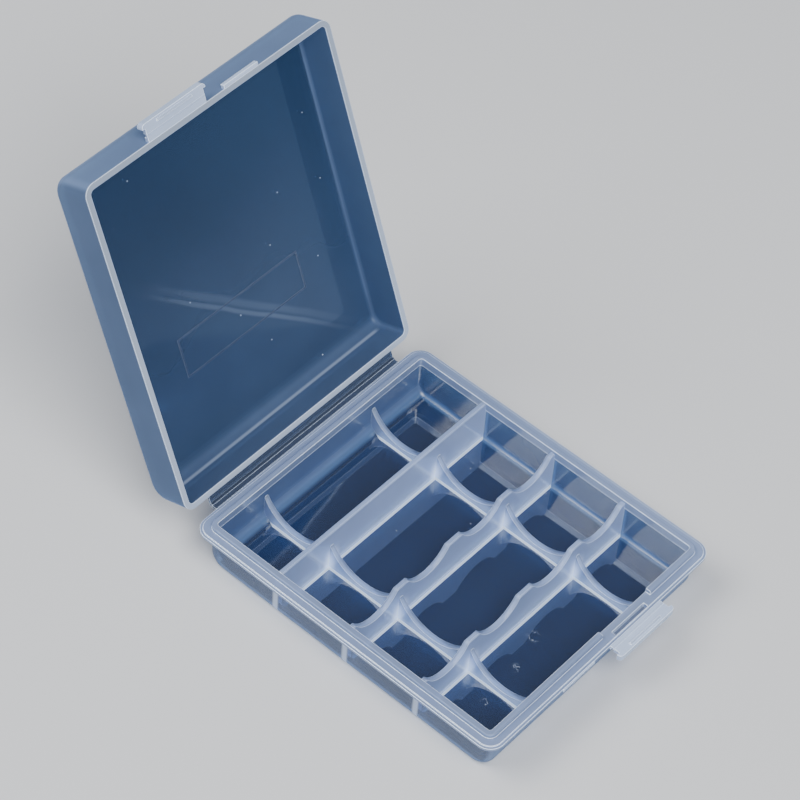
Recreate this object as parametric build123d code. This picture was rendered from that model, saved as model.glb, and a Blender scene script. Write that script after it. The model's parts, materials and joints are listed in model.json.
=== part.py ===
from build123d import *
import os

# Hinged battery case: a shallow tray with a divider grid, a deep lid on a living hinge,
# and two small latch flaps side by side on the front, one on the tray and one on the lid.
# Four long cells lie along X in the channels, or short cells lie along Y in the scallops.
# Millimetres. +X runs along the hinge, +Y from the latch side to the hinge side, +Z up.
# The origin is the centre of the tray's underside. The lid is drawn closed and then opened.

# ---- tray ----
inner_length = 54.0          # inside of the tray along the hinge
inner_width = 62.8           # inside of the tray, latch side to hinge side
tray_depth = 9.1             # floor to the top of the lip
floor_thickness = 1.4
wall_thickness = 1.05
side_fillet = 2.6            # inside, along both long sides of the tray and of the lid
tray_end_radius = 2.0        # outside, round the two ends of the tray
inner_corner_radius = 0.6    # inside, round the two ends of the tray

# ---- rim ----
lip_height = 0.9             # lip above the flange
flange_reach = 1.85          # flange beyond the wall
flange_thickness = 0.9
flange_corner_radius = 3.0
flange_step_width = 0.5      # lower margin round the flange's edge
flange_step_drop = 0.22
edge_round = 0.2             # small rounding of moulded edges

# ---- dividers and cross ribs ----
divider_thickness = 1.0      # at the top
divider_draft = 0.1          # how much each face moves out between the top and the floor
divider_foot_radius = 0.45   # fillet where a divider or rib meets the floor
divider_pitch = 16.2
scallop_radius = 6.0
scallop_depth = 3.9
scallop_crest_radius = 1.1
crest_drop = 0.7             # crests below the top of the lip
rib_spacing = 28.4           # between the two rows of cross ribs
rib_thickness = 0.9
rib_saddle_height = 1.1      # lowest point of a rib's arch above the floor
rib_horn_height = 5.7        # highest point of a rib, at the divider or wall

# ---- lid ----
lid_clearance = 0.2          # between the tray's lip and the lid's wall
lid_wall = 1.1
lid_height = 9.15            # rim face to the top of the panel
lid_panel_thickness = 1.2
lid_end_radius = 2.2         # outside, round the two ends of the lid
lid_inner_corner_radius = 1.0
seat_gap = 0.15              # flange to the lid's rim face when shut
rest_opening = 111.0         # degrees the lid stands open
label_length = 30.3          # thin raised outline on the inside of the panel
label_width = 8.1
label_offset = 12.3          # its centre, from the middle towards the hinge
label_line = 0.35
label_relief = 0.12

# ---- living hinges ----
hinge_reach = 1.15           # flange edge to the crease
strap_length = 48.0
leaf_thickness = 0.4
leaf_setback = 0.05          # leaf face below the face it runs out from
crease_radius = 0.2          # rolled edge at each fold line, half the leaf's thickness
fold_gap = 0.35              # fold line to the nearest edge of the moving leaf
gate_length = 4.6            # rectangular gate mark on the lid's leaf
gate_width = 0.9
gate_relief = 0.12

# ---- latches ----
tray_latch_x = 7.95          # middle of the tray's latch, and of the bar it hooks on the lid
lid_latch_x = -7.25          # middle of the lid's latch, and of the bar it hooks on the tray
latch_width = 14.8
latch_neck = 0.6             # how much narrower each end is at the fold
latch_corner_radius = 0.8
flap_length = 2.4            # fold line to the free edge
flap_thickness = 0.8
grip_depth = 1.25            # thickness of the free edge
grip_width = 0.9
hook_height = 0.35           # bead that passes behind the catch bar
hook_width = 0.55
hook_lead = 0.28             # ramp on the side of the free edge
hook_undercut = 0.13         # steep side towards the fold
hook_clearance = 0.2         # bead to catch bar, along the flap
catch_clearance = 0.2        # flap to the front of the catch bar
catch_reach = 0.2            # both bars end this far in front of the flange
catch_length = 8.2
catch_thickness = 0.8
slot_width = 0.95            # slot in the flange behind the tray's latch
slot_margin = 0.25           # slot to the lip, and to the ends of the lid's bar
notch_width = 13.0           # gap in the lip at the tray's latch

# ---- levels and outlines worked out from the sizes ----
floor_top = floor_thickness
lip_top = floor_top + tray_depth
flange_top = lip_top - lip_height
flange_bottom = flange_top - flange_thickness
rim_face = flange_top + seat_gap                       # lid's rim face when shut
lid_top = rim_face + lid_height
half_length = inner_length / 2
half_width = inner_width / 2
flange_offset = wall_thickness + flange_reach          # from the inside of the tray
lid_inner_offset = wall_thickness + lid_clearance
lid_outer_offset = lid_inner_offset + lid_wall
hinge_y = half_width + flange_offset + hinge_reach
hinge_z = flange_top + seat_gap / 2
tray_front = -(half_width + flange_offset)
lid_front = -(half_width + lid_outer_offset)
bar_front = tray_front - catch_reach
latch_fold_y = bar_front - catch_clearance - crease_radius
fold_depth = leaf_setback + crease_radius              # a latch's fold line below its face
hook_start = fold_depth + seat_gap + catch_thickness + hook_clearance
near = 0.01                                            # tolerance for picking edges
scallop_edges = [-half_length, -rib_spacing / 2, 0, rib_spacing / 2, half_length]


def trough(offset, bottom, top, side_radius, end_radius):
    """Solid over the tray's inside outline grown by offset, with its lower edges rounded:
    a section across the case run along X, then rounded at both ends."""
    section = Pos(0, (bottom + top) / 2) * Rectangle(2 * (half_width + offset), top - bottom)
    section = fillet(section.vertices().sort_by(Axis.Y)[:2], side_radius)
    reach = half_length + offset
    solid = Pos(-reach, 0, 0) * extrude(Plane.YZ * section, amount=2 * reach)
    ends = [e for e in solid.edges() if abs(abs(e.center().X) - reach) < near
            and e.center().Z < top - near]
    return fillet(ends, end_radius)


def outline(offset, radius, bottom, top):
    """Plate over the tray's outline grown by offset, with round upright corners."""
    plan = RectangleRounded(inner_length + 2 * offset, inner_width + 2 * offset, radius)
    return Pos(0, 0, bottom) * extrude(plan, amount=top - bottom)


def block(x0, x1, y0, y1, z0, z1):
    """Plain block between two corners."""
    return Pos((x0 + x1) / 2, (y0 + y1) / 2, (z0 + z1) / 2) * Box(x1 - x0, y1 - y0, z1 - z0)


def tray_cavity():
    return trough(0, floor_top, lip_top, side_fillet, inner_corner_radius)


def make_tray_shell():
    outer = trough(wall_thickness, 0, flange_bottom, side_fillet + wall_thickness,
                   tray_end_radius)
    return outer - tray_cavity()


def make_tray_rim():
    """Flange with a stepped edge, and the raised lip, with the notch and slot at the latch."""
    flange = outline(flange_offset, flange_corner_radius, flange_bottom, flange_top)
    land = outline(flange_offset - flange_step_width, flange_corner_radius - flange_step_width,
                   flange_top - flange_step_drop, flange_top)
    margin = block(-inner_length, inner_length, -inner_width, inner_width,
                   flange_top - flange_step_drop, flange_top) - land
    flange = flange - margin
    edges = [e for e in flange.edges() if abs(e.center().Z - flange_bottom) < near]
    flange = fillet(edges, edge_round)
    lip = outline(wall_thickness, inner_corner_radius + wall_thickness, flange_top, lip_top)
    lip = fillet(lip.faces().sort_by(Axis.Z)[-1].edges(), edge_round)
    rim = flange + lip - tray_cavity()
    front = -half_width
    notch = block(tray_latch_x - notch_width / 2, tray_latch_x + notch_width / 2,
                  front - wall_thickness - edge_round, front + wall_thickness,
                  flange_top, lip_top + 1)
    slot_front = front - wall_thickness - slot_margin
    slot = block(tray_latch_x - catch_length / 2 - slot_margin,
                 tray_latch_x + catch_length / 2 + slot_margin,
                 slot_front - slot_width, slot_front, flange_bottom - 1, flange_top + 1)
    return rim - notch - slot


def divider_profile(thickness, height):
    """Upright section across a divider or rib: thinner at the top, flared at the foot."""
    top = thickness / 2
    foot = top + divider_draft
    r = divider_foot_radius
    half = make_face([Line((0, 0), (foot + r, 0)),
                      ThreePointArc((foot + r, 0), (foot + r * (1 - 0.5 ** 0.5),
                                                    r * (1 - 0.5 ** 0.5)), (foot, r)),
                      Line((foot, r), (top, height - edge_round)),
                      Line((top, height - edge_round), (top - edge_round, height)),
                      Line((top - edge_round, height), (0, height)),
                      Line((0, height), (0, 0))])
    return half + mirror(half, about=Plane.YZ)


def run_along_x(profile):
    """Section in the YZ plane, standing on the floor, run over the whole tray along X."""
    return Pos(-inner_length, 0, floor_top) * extrude(Plane.YZ * profile,
                                                      amount=2 * inner_length)


def run_along_y(profile):
    """Section in the XZ plane, standing on the floor, run over the whole tray along Y."""
    return Pos(0, inner_width, floor_top) * extrude(Plane.XZ * profile,
                                                    amount=2 * inner_width)


def make_divider(y, height):
    wall = run_along_x(divider_profile(divider_thickness, height))
    return Pos(0, y, 0) * wall & tray_cavity()


def scallop_cutter():
    """Row of round seats for short cells, one between each pair of crests."""
    cutter = None
    for start, end in zip(scallop_edges, scallop_edges[1:]):
        axis_z = lip_top - scallop_depth + scallop_radius
        roll = Pos((start + end) / 2, 0, axis_z) * Rot(90, 0, 0) * Cylinder(
            scallop_radius, 4 * divider_thickness)
        cutter = roll if cutter is None else cutter + roll
    return cutter


def make_scalloped_divider(y):
    height = tray_depth - crest_drop
    divider = make_divider(y, height) - Pos(0, y, 0) * scallop_cutter()
    crests = [e for e in divider.edges()
              if e.length > divider_thickness / 2 and abs(e.center().X) < half_length - edge_round
              and e.center().Z > floor_top + height - 2 * edge_round
              and e.bounding_box().size.X < near and e.bounding_box().size.Z < near]
    return fillet(crests, scallop_crest_radius)


def rib_arch(y0, y1):
    """Cylinder that hollows a rib between two walls: low in the middle, horned at the ends."""
    half = (y1 - y0) / 2
    rise = rib_horn_height - rib_saddle_height
    radius = (half * half + rise * rise) / (2 * rise)
    return Pos(0, (y0 + y1) / 2, floor_top + rib_saddle_height + radius) * Rot(0, 90, 0) * Cylinder(
        radius, 4 * rib_thickness)


def make_rib(x, y0, y1, dividers):
    """Rib across one channel, between the wall or divider faces at y0 and y1."""
    reach = divider_thickness
    rib = run_along_y(divider_profile(rib_thickness, rib_horn_height))
    rib = rib & block(-reach, reach, y0 - reach, y1 + reach, 0, lip_top)
    rib = rib - rib_arch(y0, y1)
    rib = Pos(x, 0, 0) * rib & tray_cavity()
    for divider in dividers:
        rib = rib - divider
    return rib.solids().sort_by(SortBy.VOLUME)[-1]


def make_hinge_leaf(width, y_edge, y_fold, face, side, z_fold):
    """Thin leaf that runs out from y_edge to a rolled crease on the fold line. side is -1
    for a leaf below its face and +1 for one above."""
    z0 = face + side * leaf_setback
    z1 = z0 + side * leaf_thickness
    plate = block(-width / 2, width / 2, min(y_edge, y_fold), max(y_edge, y_fold),
                  min(z0, z1), max(z0, z1))
    roll = Pos(0, y_fold, z_fold) * Rot(0, 90, 0) * Cylinder(crease_radius, width)
    return plate + roll


def make_latch_root(y_wall, face, side):
    """Fixed tongue between the rim and the fold line of a latch, with its rolled crease."""
    half = latch_width / 2 - latch_neck
    z0 = face + side * leaf_setback
    z1 = z0 + side * flap_thickness
    tongue = block(-half, half, latch_fold_y + fold_gap, y_wall, min(z0, z1), max(z0, z1))
    z1 = z0 + side * leaf_thickness
    film = block(-half, half, latch_fold_y, y_wall, min(z0, z1), max(z0, z1))
    roll = Pos(0, latch_fold_y, face + side * fold_depth) * Rot(0, 90, 0) * Cylinder(
        crease_radius, 2 * half)
    return tongue + film + roll


def make_latch_flap(face, side):
    """Flap with necked ends, a hook bead on the face towards the other half, and a deeper
    grip along its free edge. side is -1 for the tray's flap and +1 for the lid's."""
    z0 = face + side * leaf_setback
    free = latch_fold_y - flap_length
    root = latch_fold_y - fold_gap
    full = latch_width / 2
    grip_start = free + grip_width

    def plate(half, y0, y1, depth):
        return block(-half, half, y0, y1, min(z0, z0 + side * depth), max(z0, z0 + side * depth))

    grip = plate(full, free, grip_start, grip_depth)
    upright = [e for e in grip.edges().filter_by(Axis.Z) if e.center().Y < free + near]
    flap = plate(full - latch_neck, grip_start, root, flap_thickness) + fillet(
        upright, latch_corner_radius)
    end = latch_fold_y - hook_start
    crest = hook_height
    bead = make_face(Polyline((end - hook_width, 0), (end, 0), (end - hook_undercut, crest),
                              (end - hook_width + hook_lead, crest), close=True))
    bead = Pos(-catch_length / 2, 0, 0) * extrude(Plane.YZ * bead, amount=catch_length)
    if side > 0:
        bead = mirror(bead, about=Plane.XY)
    return flap + Pos(0, 0, z0) * bead


def make_lid_shell():
    """Deep lid, drawn closed: two troughs turned over, one hollowing the other."""
    under = lid_top - lid_panel_thickness
    outer = trough(lid_outer_offset, rim_face, lid_top, side_fillet + lid_wall, lid_end_radius)
    hollow = trough(lid_inner_offset, rim_face, under, side_fillet, lid_inner_corner_radius)
    return (Pos(0, 0, rim_face + lid_top) * mirror(outer, about=Plane.XY)
            - Pos(0, 0, rim_face + under) * mirror(hollow, about=Plane.XY))


def make_label_frame():
    """Thin raised rectangle on the inside of the lid's panel."""
    under = lid_top - lid_panel_thickness
    frame = Rectangle(label_length, label_width) - Rectangle(
        label_length - 2 * label_line, label_width - 2 * label_line)
    return Pos(0, label_offset, under - label_relief) * extrude(frame, amount=label_relief)


def make_gate_pad():
    """Small gate mark on the lid's hinge leaf, beside the rim."""
    leaf_face = rim_face + leaf_setback
    y1 = half_width + lid_outer_offset + gate_width
    return block(-gate_length / 2, gate_length / 2, y1 - gate_width, y1,
                 leaf_face + leaf_thickness, leaf_face + leaf_thickness + gate_relief)


def make_tray_catch_bar():
    """Bar on the flange's edge that the lid's latch hooks under."""
    bar = block(-catch_length / 2, catch_length / 2, bar_front, tray_front,
                flange_top - catch_thickness, flange_top - flange_step_drop)
    return Pos(lid_latch_x, 0, 0) * bar


def make_lid_catch_bar():
    """Bar on the lid's wall, beside its rim, that the tray's latch hooks over."""
    bar = block(-catch_length / 2, catch_length / 2, bar_front, lid_front,
                rim_face, rim_face + catch_thickness)
    return Pos(tray_latch_x, 0, 0) * bar


def open_lid(piece):
    """Turn a lid piece about the crease from shut to where it stands open."""
    axis = Axis((0, hinge_y, hinge_z), (1, 0, 0))
    return piece.rotate(axis, -rest_opening)


parts = {
    "tray_shell": make_tray_shell(),
    "tray_rim": make_tray_rim(),
    "divider_hinge_side": make_divider(divider_pitch, tray_depth),
    "divider_middle": make_scalloped_divider(0),
    "divider_latch_side": make_scalloped_divider(-divider_pitch),
    "tray_catch_bar": make_tray_catch_bar(),
    "tray_latch_root": Pos(tray_latch_x, 0, 0) * make_latch_root(tray_front, flange_top, -1),
    "tray_latch_flap": Pos(tray_latch_x, 0, 0) * make_latch_flap(flange_top, -1),
    "tray_hinge_leaf": make_hinge_leaf(strap_length, half_width + flange_offset, hinge_y,
                                       flange_top, -1, hinge_z),
    "lid_shell": open_lid(make_lid_shell()),
    "lid_label_frame": open_lid(make_label_frame()),
    "lid_hinge_leaf": open_lid(block(-strap_length / 2, strap_length / 2,
                                     half_width + lid_outer_offset, hinge_y - fold_gap,
                                     rim_face + leaf_setback,
                                     rim_face + leaf_setback + leaf_thickness)),
    "lid_gate_pad": open_lid(make_gate_pad()),
    "lid_catch_bar": open_lid(make_lid_catch_bar()),
    "lid_latch_root": open_lid(Pos(lid_latch_x, 0, 0) * make_latch_root(lid_front, rim_face, 1)),
    "lid_latch_flap": open_lid(Pos(lid_latch_x, 0, 0) * make_latch_flap(rim_face, 1)),
}

divider_centres = [-divider_pitch, 0, divider_pitch]
dividers = [parts["divider_latch_side"], parts["divider_middle"], parts["divider_hinge_side"]]
channel_edges = [-half_width]
for y in divider_centres:
    channel_edges += [y - divider_thickness / 2, y + divider_thickness / 2]
channel_edges.append(half_width)
for side, x in (("left", -rib_spacing / 2), ("right", rib_spacing / 2)):
    for channel in range(4):
        y0, y1 = channel_edges[2 * channel], channel_edges[2 * channel + 1]
        beside = dividers[max(channel - 1, 0):channel + 1]
        parts[f"cross_rib_{side}_{channel + 1}"] = make_rib(x, y0, y1, beside)

os.makedirs("parts", exist_ok=True)
for name, piece in parts.items():
    piece.label = name
    export_step(piece, f"parts/{name}.step")
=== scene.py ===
import bpy
import json
import numpy as np
from math import cos, sin, radians
from mathutils import Matrix, Vector


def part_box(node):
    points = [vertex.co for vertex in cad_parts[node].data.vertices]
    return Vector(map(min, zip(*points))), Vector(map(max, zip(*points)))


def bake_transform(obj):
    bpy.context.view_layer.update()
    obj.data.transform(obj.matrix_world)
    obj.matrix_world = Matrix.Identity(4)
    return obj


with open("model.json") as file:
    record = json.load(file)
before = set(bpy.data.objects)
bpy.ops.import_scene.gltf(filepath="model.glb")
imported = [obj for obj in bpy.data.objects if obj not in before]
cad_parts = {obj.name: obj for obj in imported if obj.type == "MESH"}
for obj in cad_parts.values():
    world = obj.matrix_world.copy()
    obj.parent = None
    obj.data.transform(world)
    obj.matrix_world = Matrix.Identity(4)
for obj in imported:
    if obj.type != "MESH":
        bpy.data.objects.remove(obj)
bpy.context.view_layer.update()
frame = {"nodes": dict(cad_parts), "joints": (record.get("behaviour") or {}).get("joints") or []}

# Clear case for loose batteries: a tray with a divider grid and a lid on a folding strip.
# Metres, in the frame of the solids: +X along the hinge, +Y towards it, +Z up.
MM = 0.001
REST_OPENING = radians(111)          # how far the lid stands open at rest
UP = (0, 0, 1)

# ---- the three fold lines, from the frame, and the films that bend across them ----
joints = {joint["name"]: joint for joint in frame["joints"]}
HINGE = Vector(joints["lid_hinge"]["pos_m"])
TRAY_FOLD = Vector(joints["tray_latch_fold"]["pos_m"])
LID_FOLD = Vector(joints["lid_latch_fold"]["pos_m"])
FILM_THICKNESS = 0.3 * MM            # thinned plastic that does the folding
CREASE_DEPTH = 0.325 * MM            # middle of each leaf of the strap, from the crease
FOLD_GAP = 0.35 * MM                 # fold line to the moving leaf
FILM_BITE = 0.15 * MM                # how far a film runs into the leaf at each end
FILM_ROWS = 9                        # points along a film, enough for a smooth bend


# ---------------------------------------------------------------- shader sums

class Value:
    """A socket in a material's node tree. Sums with numbers or other values add Math nodes."""

    def __init__(self, paint, socket):
        self.paint = paint
        self.socket = socket

    def math(self, operation, *others):
        inputs = dict(enumerate((self,) + others))
        return self.paint.add("ShaderNodeMath", {"operation": operation}, inputs)

    def __add__(self, other):
        return self.math("ADD", other)

    def __sub__(self, other):
        return self.math("SUBTRACT", other)

    def __rsub__(self, other):
        return (self * -1.0).math("ADD", other)

    def __mul__(self, other):
        return self.math("MULTIPLY", other)

    def __abs__(self):
        return self.math("ABSOLUTE")

    __radd__ = __add__
    __rmul__ = __mul__

    def larger(self, other):
        return self.math("MAXIMUM", other)

    def smaller(self, other):
        return self.math("MINIMUM", other)

    def clamp(self):
        return self.paint.add("ShaderNodeClamp", {}, {"Value": self})

    def step(self, start, end):
        """0 at start and 1 at end, smooth between them and level beyond. Where end is the
        smaller of the two, it falls as the value grows."""
        return self.paint.add("ShaderNodeMapRange", {"interpolation_type": "SMOOTHSTEP"},
                              {"Value": self, "From Min": start, "From Max": end})


class Paint:
    """One material's node tree."""

    def __init__(self, name):
        self.material = bpy.data.materials.new(name)
        self.material.use_nodes = True
        self.tree = self.material.node_tree
        self.tree.nodes.clear()

    def add(self, kind, settings=None, inputs=None, output=0):
        """Adds a node: its settings first, then the values or links of its sockets."""
        node = self.tree.nodes.new(kind)
        for key, value in (settings or {}).items():
            setattr(node, key, value)
        for key, value in (inputs or {}).items():
            if isinstance(value, Value):
                self.tree.links.new(value.socket, node.inputs[key])
            else:
                node.inputs[key].default_value = value
        return Value(self, node.outputs[output])

    def noise(self, place, scale, detail=2.0):
        return self.add("ShaderNodeTexNoise", {},
                        {"Vector": place, "Scale": scale, "Detail": detail})

    def mix(self, factor, low, high):
        """Colour that runs from low to high as factor runs from 0 to 1."""
        return self.add("ShaderNodeMix", {"data_type": "RGBA"},
                        {0: factor, 6: low, 7: high}, output=2)

    def dot(self, a, b):
        return self.add("ShaderNodeVectorMath", {"operation": "DOT_PRODUCT"}, {0: a, 1: b},
                        output="Value")

    def bevel(self, radius):
        """Normal that is rounded over the edges, this far to each side of them."""
        return self.add("ShaderNodeBevel", {"samples": 8}, {"Radius": radius})

    def blend(self, factor, low, high):
        return self.add("ShaderNodeMixShader", {}, {0: factor, 1: low, 2: high})

    def finish(self, shader):
        """Links the shader to the material's output and hands over the material."""
        node = self.tree.nodes.new("ShaderNodeOutputMaterial")
        self.tree.links.new(shader.socket, node.inputs["Surface"])
        return self.material


# ---------------------------------------------------------------- the plastic's colours

PANE_TINT = (0.24, 0.39, 0.58, 1)    # what one face of the tray's floor lets through
COVER_TINT = (0.15, 0.23, 0.34, 1)   # and one face of the lid
STRAP_TINT = (0.19, 0.25, 0.35, 1)   # and one face of the strap
WALL_TINT = (0.36, 0.46, 0.62, 1)    # and one face of a rim, divider, rib or latch
PANE_MILK = (0.12, 0.20, 0.37, 1)    # haze of the flat panes
WALL_MILK = (0.30, 0.44, 0.74, 1)    # haze of the upright walls
RIM_MILK = (0.44, 0.56, 0.84, 1)     # haze of the rims, seen from above
LATCH_MILK = (0.60, 0.73, 1.00, 1)   # haze of the latch flaps, the palest part
GRID_MILK = (0.52, 0.67, 1.00, 1)    # haze of the dividers' and ribs' faces
GRID_TOP_PAINTED_SHADE = (0.44, 0.58, 0.92, 1)     # and of their narrow tops, painted darker as shade because they face the light
HIGHLIGHT_AND_MARK_WHITE = (0.92, 0.96, 1.00, 1)   # edges and thick ends painted nearly white as a highlight, where the haze also adds up; and the white of dust and scuffs
PAINTED_GLOW_COLOUR = (0.62, 0.76, 1.00, 1)   # painted glow that edges, glows and marks emit, standing in for light the plastic carries out at its edges
PAINTED_GLOW_STRENGTH = 1.3                  # and how strong the painted glow is
REFLECTION = (0.74, 0.86, 1.00, 1)   # gloss, cooled by the blue plastic under it
FLOOR_REFLECTION = (0.94, 0.95, 0.95, 1)   # clearer in the tray's floor
COVER_REFLECTION = (0.34, 0.55, 1.00, 1)   # and bluer in the lid
DARK = (0, 0, 0, 1)                  # no painted glow, away from the edges

PLASTIC_IOR = 1.5                    # refractive index, which sets the gloss
FLOOR_IOR = 3.0                      # the tray's floor mirrors the dividers strongly
COVER_IOR = 1.36                     # and the lid mirrors less
EXIT_GLOSS = 0.03                    # gloss of a face seen from inside the plastic
BEND_RADIUS = 1.1 * MM               # evens out the gloss over the walls' bends

# ---- places that the haze and the painted glows follow; those of the lid are with the lid shut ----
DIVIDER_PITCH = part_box("divider_hinge_side")[0][1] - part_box("divider_middle")[0][1]
DIVIDER_LINE = sum(corner[1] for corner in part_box("divider_middle")) / 2
RIB_LINE = sum(corner[0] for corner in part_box("cross_rib_right_1")) / 2
WALL_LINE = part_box("divider_middle")[1][0]               # inside of the end walls
WALL_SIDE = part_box("tray_shell")[1][1] - 2 * MM          # just inside the long walls
FLOOR_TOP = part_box("divider_middle")[0][2]
LID_RIM = 9.7 * MM                   # height of the lid's open edge
LID_BEND = 15.5 * MM                 # height where its panel bends into its wall
PANEL_HALF = 30 * MM                 # middle of its panel to where the drift of haze ends
SPECK_MESH = 5 * MM                  # one cell of the mesh that dust is strewn over
FLOW_ANGLE = radians(38.95)          # flow lines in the lid's panel, from the X axis
FLOW_OFFSET = 9.8 * MM               # the sharper line, from the middle of the case
FLOW_SPACING = 1.5 * MM              # from it to the softer line
SCUFF_SPOTS = ((-1.2, -20.3, 1.7), (-8.6, -22.4, 1.3), (-17.7, -23.2, 1.1))  # x, y, reach, mm


# ---------------------------------------------------------------- where the painted glows lie

def straightened(paint):
    """Object coordinates of a lid piece, turned back as if the lid were shut."""
    turn = Matrix.Rotation(REST_OPENING, 3, "X")
    home = HINGE - turn @ HINGE
    place = paint.add("ShaderNodeTexCoord", output="Object")
    return paint.add("ShaderNodeMapping", {"vector_type": "POINT"},
                     {"Vector": place, "Location": home, "Rotation": (REST_OPENING, 0, 0)})


def facings(paint, on_lid):
    """Place on a piece, and how far its face looks up or down and along X, from 0 to 1, with
    the lid shut. The normal is the piece's own, so that the haze turns with the lid."""
    normal = paint.add("ShaderNodeTexCoord", output="Normal")
    endwise = abs(paint.dot(normal, (1, 0, 0)))
    if not on_lid:
        place = paint.add("ShaderNodeTexCoord", output="Object")
        return place, abs(paint.dot(normal, UP)), endwise
    lid_up = (0, sin(REST_OPENING), cos(REST_OPENING))
    return straightened(paint), abs(paint.dot(normal, lid_up)), endwise


def parts_of(paint, place):
    return [paint.add("ShaderNodeSeparateXYZ", {}, {"Vector": place}, output=axis)
            for axis in "XYZ"]


def rim_painted_glow(x, y, z):
    """Painted glow, nearly white like the edges, in the last 0.4 mm of the lid's walls at their
    open ends, and a painted highlight line where the panel bends into the wall by the hinge."""
    open_edge = z.step(LID_RIM + 0.4 * MM, LID_RIM) * 0.45
    bend = abs(z - LID_BEND).step(0.6 * MM, 0.1 * MM)
    between_ends = abs(x).step(WALL_LINE + 0.5 * MM, WALL_LINE - 1.5 * MM)
    by_hinge = y.step(WALL_SIDE - 3 * MM, WALL_SIDE - 2 * MM)
    return open_edge.larger(bend * between_ends * by_hinge * 0.22)


def to_nearest_divider(y):
    """Distance along Y to the middle of the nearest of the three dividers."""
    out = abs(y - DIVIDER_LINE)
    return out.smaller(abs(out - DIVIDER_PITCH))


def crossing_painted_glow(x, y, z):
    """Painted glow, nearly white like the edges, at the feet of dividers and ribs and up the
    lines where they cross, where the plastic is also thickest."""
    along = abs(x) - RIB_LINE
    across = to_nearest_divider(y)
    away = (along * along + across * across).math("SQRT")
    post = away.step(2.6 * MM, 0.5 * MM) * z.step(7 * MM, 3 * MM) * 0.5
    foot = z.step(FLOOR_TOP + 0.3 * MM, FLOOR_TOP + 0.1 * MM) * 0.95
    return post.larger(foot)


def wall_painted_glow(x, y, z):
    """Painted glow, nearly white like the edges: pale uprights on the end walls, where the
    dividers' ends run into them, and a painted highlight line along the rounded bottom edge."""
    end = abs(x).step(WALL_LINE - 0.5 * MM, WALL_LINE)
    uprights = to_nearest_divider(y).step(0.9 * MM, 0.3 * MM) * end * 0.4
    side = abs(y).step(WALL_SIDE - 0.5 * MM, WALL_SIDE + 0.5 * MM)
    bottom = z.step(1.6 * MM, 0.5 * MM) * end.larger(side) * 0.45
    return uprights.larger(bottom)


# ---------------------------------------------------------------- marks on flat faces

def specks(paint, place):
    """Dust and pits: a small dot in about one cell in eight of a square mesh."""
    mesh = {"Vector": place, "Scale": 1 / SPECK_MESH}
    flat = {"voronoi_dimensions": "2D"}
    to_dot = paint.add("ShaderNodeTexVoronoi", flat, mesh, output="Distance")
    draw = paint.add("ShaderNodeTexVoronoi", flat, mesh, output="Color")
    chosen = paint.dot(draw, (1, 0, 0)).step(0.86, 0.9)
    return to_dot.step(0.035, 0.015) * chosen * 0.5


def scuffs(paint, place):
    """Curled scratches in three spots of the long bay by the latch, and dust. The scratches
    are contour lines of a noise, kept inside a disc round each spot."""
    contour = abs(paint.noise(place, 1100.0) - 0.5).step(0.035, 0.01)
    marks = specks(paint, place)
    for spot_x, spot_y, reach in SCUFF_SPOTS:
        centre = (spot_x * MM, spot_y * MM, FLOOR_TOP)
        away = paint.add("ShaderNodeVectorMath", {"operation": "DISTANCE"},
                         {0: place, 1: centre}, output="Value")
        disc = away.step(reach * MM, 0.4 * reach * MM)
        marks = marks.larger(contour * disc * 0.4)
    return marks


def flow_lines(paint, place):
    """Two faint parallel flow lines slanting over the lid's panel, and dust. They waver a
    little, and fade out towards both ends."""
    waver = paint.noise(place, 60.0) * (1.2 * MM)
    off_line = paint.dot(place, (-sin(FLOW_ANGLE), cos(FLOW_ANGLE), 0)) + waver
    along = paint.dot(place, (cos(FLOW_ANGLE), sin(FLOW_ANGLE), 0))
    fade = along.step(-22 * MM, -4 * MM) * along.step(42 * MM, 14 * MM)
    sharp = abs(off_line - FLOW_OFFSET).step(0.7 * MM, 0.1 * MM)
    soft = abs(off_line - (FLOW_OFFSET - FLOW_SPACING)).step(1.1 * MM, 0.2 * MM)
    lines = sharp.larger(soft * 0.6) * fade * 0.08
    return lines.larger(specks(paint, place))


# ---------------------------------------------------------------- the plastic itself

def milk_share(y, cloud, flat, endwise, shares, drift, hinge_wall):
    """How milky a face is: a cloudy share for each way that it can look."""
    along_x, along_y = endwise, 1 - endwise
    on_walls = along_x * (shares[2] - shares[1]) + shares[1]
    by_hinge = y.step(WALL_SIDE - 5 * MM, WALL_SIDE - 3 * MM) * along_y
    on_walls = on_walls * (by_hinge * (hinge_wall - 1) + 1)
    to_hinge = y.step(-PANEL_HALF, PANEL_HALF)
    on_panes = to_hinge * (drift[1] - drift[0]) + (shares[0] + drift[0])
    return ((1 - flat) * on_walls + flat * on_panes) * (cloud * 0.6 + 0.7)


def gloss_normal(paint, place, curved, rounded):
    """Normal for the gloss: rounded over edges, rounder over bends, and slightly rippled."""
    even = paint.add("ShaderNodeMix", {"data_type": "VECTOR"},
                     {0: curved, 4: rounded, 5: paint.bevel(BEND_RADIUS)}, output=1)
    ripple = paint.noise(place, 90.0, detail=0.0)
    return paint.add("ShaderNodeBump", {}, {"Strength": 0.07, "Distance": 0.3 * MM,
                                            "Height": ripple, "Normal": even})


def gloss_share(paint, soft, flat, curved, shine, upright_gloss):
    """How strongly a face mirrors: less on bends, least from inside the plastic, and on
    upright faces their own share."""
    inside = paint.add("ShaderNodeNewGeometry", output="Backfacing")
    mirror = paint.add("ShaderNodeFresnel", {}, {"IOR": shine, "Normal": soft})
    mirror = mirror * (1 - inside) + inside * EXIT_GLOSS
    return mirror * (1 - curved * 0.5) * (flat * (1 - upright_gloss) + upright_gloss)


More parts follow.
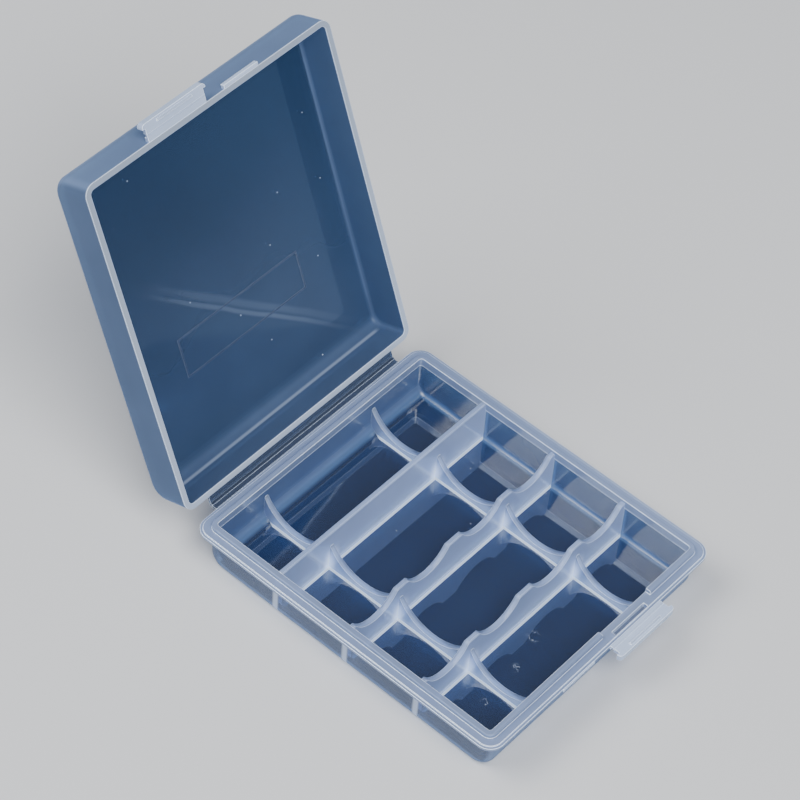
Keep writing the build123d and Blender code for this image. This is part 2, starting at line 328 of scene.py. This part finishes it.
def milky_plastic(name, shares, milks, edge_size, edge_share, on_lid=False, glow=None,
                  marks=None, tint=WALL_TINT, shine=PLASTIC_IOR, reflection=REFLECTION,
                  drift=(0, 0), upright_gloss=1.0, hinge_wall=1.0):
    """Clear moulded plastic with a bluish haze. A face lets tinted light through, and where it
    doesn't, it is milk, under a gloss.
    shares: how much is milk on faces that look up or down, along Y and along X.
    milks: the milk's colour on faces that look up or down, and on upright ones.
    edge_size, edge_share: reach and strength of the painted highlights, nearly white and
    glowing, which lie where a softly rounded normal leans from the face's own.
    glow, marks: where else a painted glow like an edge's lies, and what lies on the flat faces.
    tint, reflection: colours of the light let through and of the gloss.
    shine: refractive index for the gloss, of which upright faces keep upright_gloss.
    drift: milk that the flat faces gain at the latch's side and at the hinge's.
    hinge_wall: how much of its milk the wall by the hinge keeps."""
    paint = Paint(name)
    place, level, endwise = facings(paint, on_lid)
    x, y, z = parts_of(paint, place)
    flat = level.step(0.6, 0.95)
    curved = level.step(0.1, 0.3) * level.step(0.99, 0.94)

    # Painted highlight: edges lie where a rounded normal leans from the face's own; painted
    # glows and the real marks join this mask.
    normal = paint.add("ShaderNodeNewGeometry", output="Normal")
    rounded = paint.bevel(edge_size)
    edge = (1 - paint.dot(normal, rounded)).step(0.01, 0.2) * edge_share
    if glow:
        edge = edge.larger(glow(x, y, z))
    if marks:
        edge = edge.larger(marks(paint, place) * flat)

    cloud = paint.noise(place, 45.0, detail=3.0)
    haze = milk_share(y, cloud, flat, endwise.step(0.5, 0.9), shares, drift, hinge_wall)
    share = (haze + edge * (1 - haze)).clamp()
    soft = gloss_normal(paint, place, curved, rounded)
    # Where the mask lies the milk is painted nearly white and emits a painted glow, marks
    # included.
    colour = paint.mix(edge, paint.mix(flat, milks[1], milks[0]), HIGHLIGHT_AND_MARK_WHITE)
    milk = paint.add("ShaderNodeBsdfPrincipled", {},
                     {"Base Color": colour, "Roughness": cloud * 0.15 + 0.25, "Normal": soft,
                      "IOR": PLASTIC_IOR, "Emission Color": paint.mix(edge, DARK, PAINTED_GLOW_COLOUR),
                      "Emission Strength": PAINTED_GLOW_STRENGTH})
    clear = paint.add("ShaderNodeBsdfTransparent", {}, {"Color": tint})
    gloss = paint.add("ShaderNodeBsdfGlossy", {},
                      {"Color": reflection, "Roughness": curved * 0.25 + 0.05, "Normal": soft})
    mirror = gloss_share(paint, soft, flat, curved, shine, upright_gloss)
    return paint.finish(paint.blend(mirror, paint.blend(share, clear, milk), gloss))


def dress(nodes, material):
    for name in nodes:
        mesh = frame["nodes"][name].data
        mesh.materials.clear()
        mesh.materials.append(material)


# ---- milk of each kind of part: on faces that look up or down, and on upright ones ----
panes = (PANE_MILK, WALL_MILK)
ribs = (GRID_TOP_PAINTED_SHADE, GRID_MILK)
lips = (LATCH_MILK, LATCH_MILK)
rims = (RIM_MILK, GRID_MILK)

shell = milky_plastic("tray_walls", (0.08, 0.34, 0.2), panes, 0.3 * MM, 0.8,
                      glow=wall_painted_glow, marks=scuffs, tint=PANE_TINT, shine=FLOOR_IOR,
                      reflection=FLOOR_REFLECTION, upright_gloss=0.3)
rim = milky_plastic("tray_rim", (0.46, 0.46, 0.46), rims, 0.22 * MM, 1.0)
grid = milky_plastic("dividers", (0.6, 0.72, 0.55), ribs, 0.14 * MM, 0.7, glow=crossing_painted_glow)
cross = milky_plastic("cross_ribs", (0.42, 0.5, 0.42), ribs, 0.13 * MM, 0.7,
                      glow=crossing_painted_glow)
cover = milky_plastic("lid_walls", (0.1, 0.46, 0.24), panes, 0.3 * MM, 0.8, on_lid=True,
                      glow=rim_painted_glow, marks=flow_lines, tint=COVER_TINT, shine=COVER_IOR,
                      reflection=COVER_REFLECTION, drift=(-0.06, 0.24), hinge_wall=0.45)
tabs = milky_plastic("tray_latch", (0.82, 0.75, 0.75), lips, 0.2 * MM, 1.0)
lid_tabs = milky_plastic("lid_latch", (0.88, 0.9, 0.8), lips, 0.2 * MM, 1.0, on_lid=True)
strap = milky_plastic("hinge_strap", (0.1, 0.12, 0.12), rims, 0.13 * MM, 0.8, tint=STRAP_TINT)
lid_strap = milky_plastic("lid_hinge_strap", (0.1, 0.12, 0.12), rims, 0.13 * MM, 0.8,
                          on_lid=True, tint=STRAP_TINT)
outline = milky_plastic("label_outline", (0.12, 0.12, 0.12), panes, 0.2 * MM, 0.3,
                        on_lid=True)

names = list(frame["nodes"])
dress(["tray_shell"], shell)
dress(["tray_rim", "tray_catch_bar"], rim)
dress([name for name in names if name.startswith("divider")], grid)
dress([name for name in names if name.startswith("cross_rib")], cross)
dress(["lid_shell"], cover)
dress(["tray_latch_flap", "tray_latch_root"], tabs)
dress(["lid_latch_flap", "lid_latch_root", "lid_catch_bar", "lid_gate_pad"], lid_tabs)
dress(["tray_hinge_leaf"], strap)
dress(["lid_hinge_leaf"], lid_strap)
dress(["lid_label_frame"], outline)


# ---------------------------------------------------------------- folding films

def strip(name, middle, across, x0, x1, material):
    """A band run along X from x0 to x1. Its section is a ring of (y, z) points: out along the
    line middle and back, half the film's thickness to each side of it along across."""
    half = FILM_THICKNESS / 2
    ring = np.vstack([middle + half * across, (middle - half * across)[::-1]])
    count = len(ring)
    points = np.zeros((2, count, 3))
    points[:, :, 0] = np.array([[x0], [x1]])
    points[:, :, 1:] = ring
    at = np.arange(count)
    after = np.roll(at, -1)
    sides = np.stack([at, after, after + count, at + count], axis=1).tolist()
    faces = sides + [at[::-1].tolist(), (at + count).tolist()]
    mesh = bpy.data.meshes.new(name)
    mesh.from_pydata(points.reshape(-1, 3).tolist(), [], faces)
    mesh.update()
    piece = bpy.data.objects.new(name, mesh)
    bpy.context.collection.objects.link(piece)
    mesh.materials.append(material)
    return piece


def turned(line, centre, angle):
    """Points (y, z) turned about the X axis through centre."""
    turn = np.array([[cos(angle), -sin(angle)], [sin(angle), cos(angle)]])
    return (line - centre) @ turn.T + centre


def strap_film():
    """Film of the lid's hinge: an arc round the crease from the tray's leaf to the lid's,
    then straight into the lid's leaf."""
    low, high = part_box("tray_hinge_leaf")
    centre = np.array([HINGE.y, HINGE.z])
    lean = REST_OPENING - radians(90)
    angles = np.linspace(-radians(90), -lean, FILM_ROWS)
    across = np.stack([np.cos(angles), np.sin(angles)], axis=1)
    arc = centre + CREASE_DEPTH * across
    along = np.array([-across[-1][1], across[-1][0]])
    reach = FOLD_GAP + FILM_BITE
    middle = np.vstack([arc[:1] - [FILM_BITE, 0], arc, arc[-1:] + reach * along])
    across = np.vstack([across[:1], across, across[-1:]])
    film = strip("strap_film", middle, across, low[0], high[0], strap)
    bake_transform(film)


def latch_film(name, node, fold, angle, material):
    """Film of a latch: a short straight band across its fold line, turned by angle."""
    low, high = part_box(node)
    centre = np.array([fold.y, fold.z])
    run = np.linspace(FILM_BITE, -FOLD_GAP - FILM_BITE, FILM_ROWS)
    middle = centre + np.stack([run, 0 * run], axis=1)
    across = np.tile([0.0, -1.0], (FILM_ROWS, 1))
    middle = turned(middle, centre, angle)
    across = turned(across, np.zeros(2), angle)
    film = strip(name, middle, across, low[0], high[0], material)
    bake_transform(film)


strap_film()
latch_film("tray_latch_film", "tray_latch_root", TRAY_FOLD, 0.0,
           tabs)
latch_film("lid_latch_film", "lid_latch_root", LID_FOLD, -REST_OPENING,
           lid_tabs)


# ---------------------------------------------------------------- stage, light, camera

STAGE_HALF = 3.0                     # middle of the floor to its edge
STAGE_LEVEL = -0.1 * MM              # a hair below the tray's clear underside
STAGE_COLOUR = (0.72, 0.73, 0.75, 1)
STAGE_MOTTLE = [0.98 * part for part in STAGE_COLOUR[:3]] + [1]     # a hair darker
STAGE_ROUGHNESS = 0.9

LIGHT_TARGET = (0, 0.02, 0.02)
SOFTBOX_SIZE = 0.7
KEY_PLACE, KEY_POWER = (-0.32, -0.6, 1.0), 16.0
SIDE_PLACE, SIDE_POWER = (-0.5, 0.45, 0.95), 9.0
ROOM_COLOUR = (0.8, 0.88, 1.0, 1)
ROOM_STRENGTH = 0.13

# The photograph's camera, worked out from the tray's straight edges.
SENSOR_WIDTH = 36.0                  # millimetres, as is the next
FOCAL_LENGTH = 144.27
EYE = (-0.28222, -0.20367, 0.44814)
LOOKS_ALONG = (0.51698, 0.39976, -0.75692)
PICTURE_RIGHT = (0.66271, -0.74660, 0.05832)


def pale_paper():
    """Matt paper with a barely visible mottle."""
    paint = Paint("pale_floor")
    place = paint.add("ShaderNodeTexCoord", output="Object")
    tone = paint.mix(paint.noise(place, 3.0), STAGE_MOTTLE, STAGE_COLOUR)
    sheet = paint.add("ShaderNodeBsdfPrincipled", {},
                      {"Base Color": tone, "Roughness": STAGE_ROUGHNESS})
    return paint.finish(sheet)


def floor():
    """Plain pale floor under the tray, one large square."""
    mesh = bpy.data.meshes.new("floor")
    square = ((-1, -1), (1, -1), (1, 1), (-1, 1))
    corners = [(STAGE_HALF * x, STAGE_HALF * y, STAGE_LEVEL) for x, y in square]
    mesh.from_pydata(corners, [], [(0, 1, 2, 3)])
    piece = bpy.data.objects.new("floor", mesh)
    bpy.context.collection.objects.link(piece)
    mesh.materials.append(pale_paper())


def softbox(name, place, power):
    """Square soft light at place, aimed at the case."""
    light = bpy.data.lights.new(name, "AREA")
    light.shape = "SQUARE"
    light.size = SOFTBOX_SIZE
    light.energy = power
    lamp = bpy.data.objects.new(name, light)
    bpy.context.collection.objects.link(lamp)
    lamp.location = place
    aim = Vector(LIGHT_TARGET) - Vector(place)
    lamp.rotation_euler = aim.to_track_quat("-Z", "Y").to_euler()


def camera():
    """Camera at the photograph's viewing angle."""
    lens = bpy.data.cameras.new("camera")
    lens.sensor_width = SENSOR_WIDTH
    lens.lens = FOCAL_LENGTH
    eye = bpy.data.objects.new("camera", lens)
    bpy.context.collection.objects.link(eye)
    back = -Vector(LOOKS_ALONG).normalized()
    right = Vector(PICTURE_RIGHT)
    right = (right - right.project(back)).normalized()
    up = back.cross(right)
    turn = Matrix((right, up, back)).transposed()
    eye.matrix_world = Matrix.Translation(EYE) @ turn.to_4x4()
    bpy.context.scene.camera = eye


def surroundings():
    """Even, dim light from all round."""
    world = bpy.data.worlds.new("studio")
    world.use_nodes = True
    room = world.node_tree.nodes["Background"]
    room.inputs["Color"].default_value = ROOM_COLOUR
    room.inputs["Strength"].default_value = ROOM_STRENGTH
    bpy.context.scene.world = world


floor()
softbox("key", KEY_PLACE, KEY_POWER)
softbox("side", SIDE_PLACE, SIDE_POWER)
surroundings()
camera()
